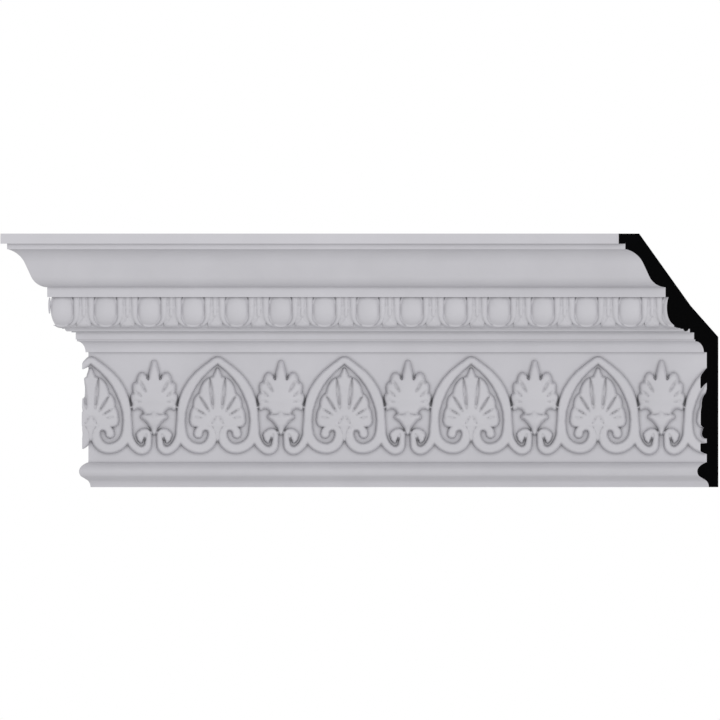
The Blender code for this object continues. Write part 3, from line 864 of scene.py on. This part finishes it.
def carve_skin(settings):
    """The whole surface, open at both ends, longer than the finished length."""
    edge = settings.flank / MILLIMETRE / 2
    spacing = settings.spacing / MILLIMETRE
    groove = settings.groove / MILLIMETRE
    half_pitch = FRIEZE_PITCH / MILLIMETRE / 2
    forms = scroll_forms(edge, settings.arch_relief / MILLIMETRE)
    forms += large_palmette_forms(edge, settings.palmette_relief / MILLIMETRE, groove)
    forms += small_palmette_forms(half_pitch, edge)
    tall = FRIEZE_HEIGHT / MILLIMETRE
    frieze = relief_tile(half_pitch, tall, lambda row: row * FRIEZE_DRAWN / tall + FRIEZE_SET,
                         forms, (-edge, edge, edge + SHOULDER_LEVEL), spacing)

    last = math.asin(OVOLO_BELLY / OVOLO_RISE)
    turns = np.linspace(-math.pi / 2, last, OVOLO_STATIONS)
    bed = OVOLO_OUT + OVOLO_BED * np.cos(turns)
    rise = (np.sin(turns) + 1) * OVOLO_RISE
    girth = np.concatenate([[0.0], np.cumsum(np.hypot(np.diff(bed), np.diff(rise)))])
    girth /= MILLIMETRE

    def template_row(row):
        return np.interp(row, girth, rise / MILLIMETRE) + OVOLO_SET
    ovolo = relief_tile(EGG_PITCH / MILLIMETRE / 2, girth[-1], template_row,
                        ovolo_forms(OVOLO_RELIEF / MILLIMETRE), OVOLO_LEVELS, spacing)

    def on_frieze(x, row, height):
        return x, GROUND_THICKNESS + height * MILLIMETRE, FRIEZE_FOOT + row * MILLIMETRE

    def on_ovolo(x, row, height):
        turn = np.interp(row, girth, turns)
        raised = height * MILLIMETRE * min(1.0, SWELL * math.cos(turn))
        out = OVOLO_OUT + OVOLO_BED * math.cos(turn) + raised
        return x, out, OVOLO_FOOT + OVOLO_RISE * (1 + math.sin(turn))

    first = -RUN / 2 - GROUND_THICKNESS + FIRST_ARCH
    arch_axes = [first + index * FRIEZE_PITCH for index in range(FRIEZE_REPEATS)]
    egg_first = -RUN / 2 - BAND_OUT + FIRST_EGG - EGG_PITCH
    egg_axes = [egg_first + index * EGG_PITCH for index in range(EGG_REPEATS)]
    ends = (-RUN / 2 - FASCIA_OUT - END_MARGIN, RUN / 2 + END_MARGIN)
    skin = Skin()
    rows = [skin.rail(out, up, ends) for out, up in below_frieze()]
    start = rows[0]
    frieze_rows = skin.repeats(frieze, arch_axes, FRIEZE_PITCH, on_frieze)
    ovolo_rows = skin.repeats(ovolo, egg_axes, EGG_PITCH, on_ovolo)
    middle = [skin.rail(out, up, ends) for out, up in frieze_to_ovolo()]
    upper = [skin.rail(out, up, ends) for out, up in above_ovolo()]
    for chain in (rows + frieze_rows[:1], frieze_rows[1:] + middle + ovolo_rows[:1],
                  ovolo_rows[1:] + upper + [start]):
        for row, after in zip(chain, chain[1:]):
            skin.strip(row, after)
    return skin


def keep_largest(mesh):
    """Delete whatever the mitres have cut loose from the length."""
    left = set(mesh.faces)
    groups = []
    while left:
        front = [left.pop()]
        group = set(front)
        while front:
            face = front.pop()
            for edge in face.edges:
                for other in edge.link_faces:
                    if other in left:
                        left.discard(other)
                        group.add(other)
                        front.append(other)
        groups.append(group)
    groups.sort(key=len)
    loose = [face for group in groups[:-1] for face in group]
    bmesh.ops.delete(mesh, geom=loose, context="FACES")


def cut_mitres(mesh):
    """Cut both ends at the mitres and close them; gives the new end faces."""
    for side in (-1, 1):
        place = Vector((side * RUN / 2, 0.0, 0.0))
        away = Vector((side, -side, 0.0)).normalized()
        bmesh.ops.bisect_plane(mesh, geom=mesh.verts[:] + mesh.edges[:] + mesh.faces[:],
                               dist=1e-7, plane_co=place, plane_no=away, clear_outer=True)
    keep_largest(mesh)
    ends = []
    for side in (-1, 1):
        away = Vector((side, -side, 0.0)).normalized()
        rim = [edge for edge in mesh.edges if edge.is_boundary
               and side * (edge.verts[0].co.x + edge.verts[1].co.x) > 0]
        filled = bmesh.ops.triangle_fill(mesh, use_beauty=True, edges=rim, normal=away)
        ends += [item for item in filled["geom"] if isinstance(item, bmesh.types.BMFace)]
    return ends


# The finish


def new_material(name):
    """A material with its nodes, links and shader."""
    made = bpy.data.materials.new(name)
    made.use_nodes = True
    tree = made.node_tree
    return made, tree.nodes, tree.links, tree.nodes["Principled BSDF"]


def noise(nodes, links, scale, detail, roughness=0.55):
    """A noise in the part's own metres."""
    where = nodes.new("ShaderNodeTexCoord")
    grain = nodes.new("ShaderNodeTexNoise")
    grain.inputs["Scale"].default_value = scale
    grain.inputs["Detail"].default_value = detail
    grain.inputs["Roughness"].default_value = roughness
    links.new(where.outputs["Object"], grain.inputs["Vector"])
    return grain.outputs["Fac"]


def primed_material(settings):
    """Smooth matt primer: faint clouds, fine tooth, uneven gloss, and painted shade in its
    recesses.
    """
    made, nodes, links, shader = new_material("primed_polyurethane")
    clouds = noise(nodes, links, CLOUD_SCALE, 3.0)
    tooth = noise(nodes, links, TOOTH_SCALE, 3.0, 0.6)
    ramp = nodes.new("ShaderNodeValToRGB")
    low, high = ramp.color_ramp.elements
    low.position, high.position = 0.30, 0.70
    low.color = tuple(c * (1 - settings.mottle) for c in settings.primer) + (1.0,)
    high.color = tuple(min(1.0, c * (1 + settings.mottle)) for c in settings.primer) + (1.0,)
    links.new(clouds, ramp.inputs["Fac"])
    # Painted shade: an ambient-occlusion node darkens the primer's colour in recesses and inner
    # corners.
    painted_shade = nodes.new("ShaderNodeAmbientOcclusion")
    painted_shade.samples = 16
    painted_shade.only_local = True
    painted_shade.inputs["Distance"].default_value = settings.painted_shade_reach
    shade = nodes.new("ShaderNodeMapRange")
    shade.inputs["To Min"].default_value = 1.0 - settings.painted_shade
    links.new(painted_shade.outputs["AO"], shade.inputs["Value"])
    darken = nodes.new("ShaderNodeMix")
    darken.data_type = "RGBA"
    darken.blend_type = "MULTIPLY"
    # The painted shade is full on the carved frieze and weaker on the plain members above and
    # below it.
    where = nodes.new("ShaderNodeTexCoord")
    split = nodes.new("ShaderNodeSeparateXYZ")
    links.new(where.outputs["Object"], split.inputs["Vector"])
    painted_shade_band = nodes.new("ShaderNodeMath")
    painted_shade_band.operation = "COMPARE"
    links.new(split.outputs["Z"], painted_shade_band.inputs[0])
    painted_shade_band.inputs[1].default_value = FRIEZE_FOOT + FRIEZE_HEIGHT / 2 - ORIGIN_UP
    painted_shade_band.inputs[2].default_value = FRIEZE_HEIGHT / 2 - settings.painted_shade_reach
    amount = nodes.new("ShaderNodeMapRange")
    amount.inputs["To Min"].default_value = settings.plain_painted_shade
    links.new(painted_shade_band.outputs["Value"], amount.inputs["Value"])
    links.new(amount.outputs["Result"], darken.inputs["Factor"])
    links.new(ramp.outputs["Color"], darken.inputs["A"])
    links.new(shade.outputs["Result"], darken.inputs["B"])
    links.new(darken.outputs["Result"], shader.inputs["Base Color"])
    sheen = nodes.new("ShaderNodeMapRange")
    sheen.inputs["To Min"].default_value = settings.roughness - GLOSS_SPREAD
    sheen.inputs["To Max"].default_value = settings.roughness + GLOSS_SPREAD
    links.new(clouds, sheen.inputs["Value"])
    links.new(sheen.outputs["Result"], shader.inputs["Roughness"])
    bump = nodes.new("ShaderNodeBump")
    bump.inputs["Strength"].default_value = 0.25
    bump.inputs["Distance"].default_value = TOOTH_DEPTH
    links.new(tooth, bump.inputs["Height"])
    links.new(bump.outputs["Normal"], shader.inputs["Normal"])
    shader.inputs["Specular IOR Level"].default_value = 0.25
    return made


def cut_material(settings):
    """The cut ends: near black, with the fine pores of sawn foam."""
    made, nodes, links, shader = new_material("cut_end")
    where = nodes.new("ShaderNodeTexCoord")
    pores = nodes.new("ShaderNodeTexVoronoi")
    pores.inputs["Scale"].default_value = PORE_SCALE
    links.new(where.outputs["Object"], pores.inputs["Vector"])
    ramp = nodes.new("ShaderNodeValToRGB")
    low, high = ramp.color_ramp.elements
    low.position, high.position = 0.05, 0.75
    low.color = tuple(c * 0.5 for c in settings.cut) + (1.0,)
    high.color = tuple(c * 1.4 for c in settings.cut) + (1.0,)
    links.new(pores.outputs["Distance"], ramp.inputs["Fac"])
    links.new(ramp.outputs["Color"], shader.inputs["Base Color"])
    bump = nodes.new("ShaderNodeBump")
    bump.inputs["Strength"].default_value = 0.5
    bump.inputs["Distance"].default_value = PORE_DEPTH
    links.new(pores.outputs["Distance"], bump.inputs["Height"])
    links.new(bump.outputs["Normal"], shader.inputs["Normal"])
    shader.inputs["Roughness"].default_value = 0.9
    shader.inputs["Specular IOR Level"].default_value = 0.0
    return made


# Operators


class CORNICE_OT_moulding(bpy.types.Operator):
    """Carve the moulding and cut its mitres."""

    bl_idname = "cornice.moulding"
    bl_label = "Moulding"

    def execute(self, context):
        scene = context.scene
        skin = carve_skin(scene.cornice_carving)
        data = bpy.data.meshes.new("carved_cornice")
        data.from_pydata(skin.points, [], skin.faces)
        data.materials.append(primed_material(scene.cornice_finish))
        data.materials.append(cut_material(scene.cornice_finish))
        mesh = bmesh.new()
        mesh.from_mesh(data)
        for face in cut_mitres(mesh):
            face.material_index = 1
        bmesh.ops.triangulate(mesh, faces=[face for face in mesh.faces if len(face.verts) > 4])
        bmesh.ops.recalc_face_normals(mesh, faces=mesh.faces[:])
        mesh.to_mesh(data)
        mesh.free()
        if not data.polygons:
            raise RuntimeError("the moulding has no faces")
        data.shade_smooth()
        data.set_sharp_from_angle(angle=scene.cornice_carving.crease)
        made = bpy.data.objects.new("carved_cornice", data)
        scene.collection.objects.link(made)
        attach(made, "root")
        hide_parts(NODE)
        return {"FINISHED"}


class CORNICE_OT_stage(bpy.types.Operator):
    """Set up the floor, the light and the camera."""

    bl_idname = "cornice.stage"
    bl_label = "Stage"

    def execute(self, context):
        scene = context.scene
        settings = scene.cornice_stage
        mesh = bmesh.new()
        bmesh.ops.create_grid(mesh, x_segments=1, y_segments=1, size=FLOOR_SIZE)
        data = bpy.data.meshes.new("floor")
        mesh.to_mesh(data)
        mesh.free()
        floor = bpy.data.objects.new("floor", data)
        floor.location.z = CAD_BOX[0].z - settings.floor_drop
        scene.collection.objects.link(floor)
        made, _, _, shader = new_material("floor")
        shader.inputs["Base Color"].default_value = tuple(settings.floor) + (1.0,)
        shader.inputs["Roughness"].default_value = 0.9
        shader.inputs["Specular IOR Level"].default_value = 0.0
        data.materials.append(made)

        world = bpy.data.worlds.new("studio")
        world.use_nodes = True
        scene.world = world
        nodes, links = world.node_tree.nodes, world.node_tree.links
        nodes.clear()
        around = nodes.new("ShaderNodeBackground")
        around.inputs["Strength"].default_value = settings.ambient
        white = nodes.new("ShaderNodeBackground")
        for ground in (around, white):
            ground.inputs["Color"].default_value = (1.0, 1.0, 1.0, 1.0)
        seen = nodes.new("ShaderNodeLightPath")
        mix = nodes.new("ShaderNodeMixShader")
        result = nodes.new("ShaderNodeOutputWorld")
        links.new(seen.outputs["Is Camera Ray"], mix.inputs["Fac"])
        links.new(around.outputs["Background"], mix.inputs[1])
        links.new(white.outputs["Background"], mix.inputs[2])
        links.new(mix.outputs["Shader"], result.inputs["Surface"])

        light = bpy.data.lights.new("frontal", "SUN")
        light.energy = settings.frontal
        light.angle = settings.softness
        lamp = bpy.data.objects.new("frontal", light)
        lamp.rotation_euler = (math.radians(90), 0.0, settings.side)
        scene.collection.objects.link(lamp)

        lens = bpy.data.cameras.new("camera")
        lens.type = "ORTHO"
        lens.ortho_scale = settings.framing
        lens.clip_end = CAMERA_SIGHT
        camera = bpy.data.objects.new("camera", lens)
        camera.location = (settings.aim[0], -CAMERA_DISTANCE, settings.aim[1])
        camera.rotation_euler = (math.radians(90), 0.0, 0.0)
        scene.collection.objects.link(camera)
        scene.camera = camera
        scene.view_settings.view_transform = "Standard"
        return {"FINISHED"}


class CORNICE_PT_panel(bpy.types.Panel):
    """The cornice's sizes, colours and steps."""

    bl_idname = "CORNICE_PT_panel"
    bl_label = "Cornice"
    bl_space_type = "VIEW_3D"
    bl_region_type = "UI"
    bl_category = "Cornice"

    def draw(self, context):
        steps = ((CORNICE_OT_moulding, ("cornice_carving", "cornice_finish")),
                 (CORNICE_OT_stage, ("cornice_stage",)))
        for operator, groups in steps:
            box = self.layout.box()
            for group in groups:
                settings = getattr(context.scene, group)
                for name in settings.__annotations__:
                    box.prop(settings, name)
            box.operator(operator.bl_idname)


CLASSES = (CarvingSettings, FinishSettings, StageSettings, CORNICE_OT_moulding,
           CORNICE_OT_stage, CORNICE_PT_panel)


def register():
    """Add the settings, the operators and the panel."""
    for item in CLASSES:
        bpy.utils.register_class(item)
    for name, group in (("cornice_carving", CarvingSettings),
                        ("cornice_finish", FinishSettings), ("cornice_stage", StageSettings)):
        setattr(bpy.types.Scene, name, bpy.props.PointerProperty(type=group))


def unregister():
    """Take them away again."""
    for name in ("cornice_carving", "cornice_finish", "cornice_stage"):
        delattr(bpy.types.Scene, name)
    for item in reversed(CLASSES):
        bpy.utils.unregister_class(item)


def main():
    """Build everything in order."""
    register()
    bpy.ops.cornice.moulding()
    bpy.ops.cornice.stage()


if __name__ == "__main__":
    main()
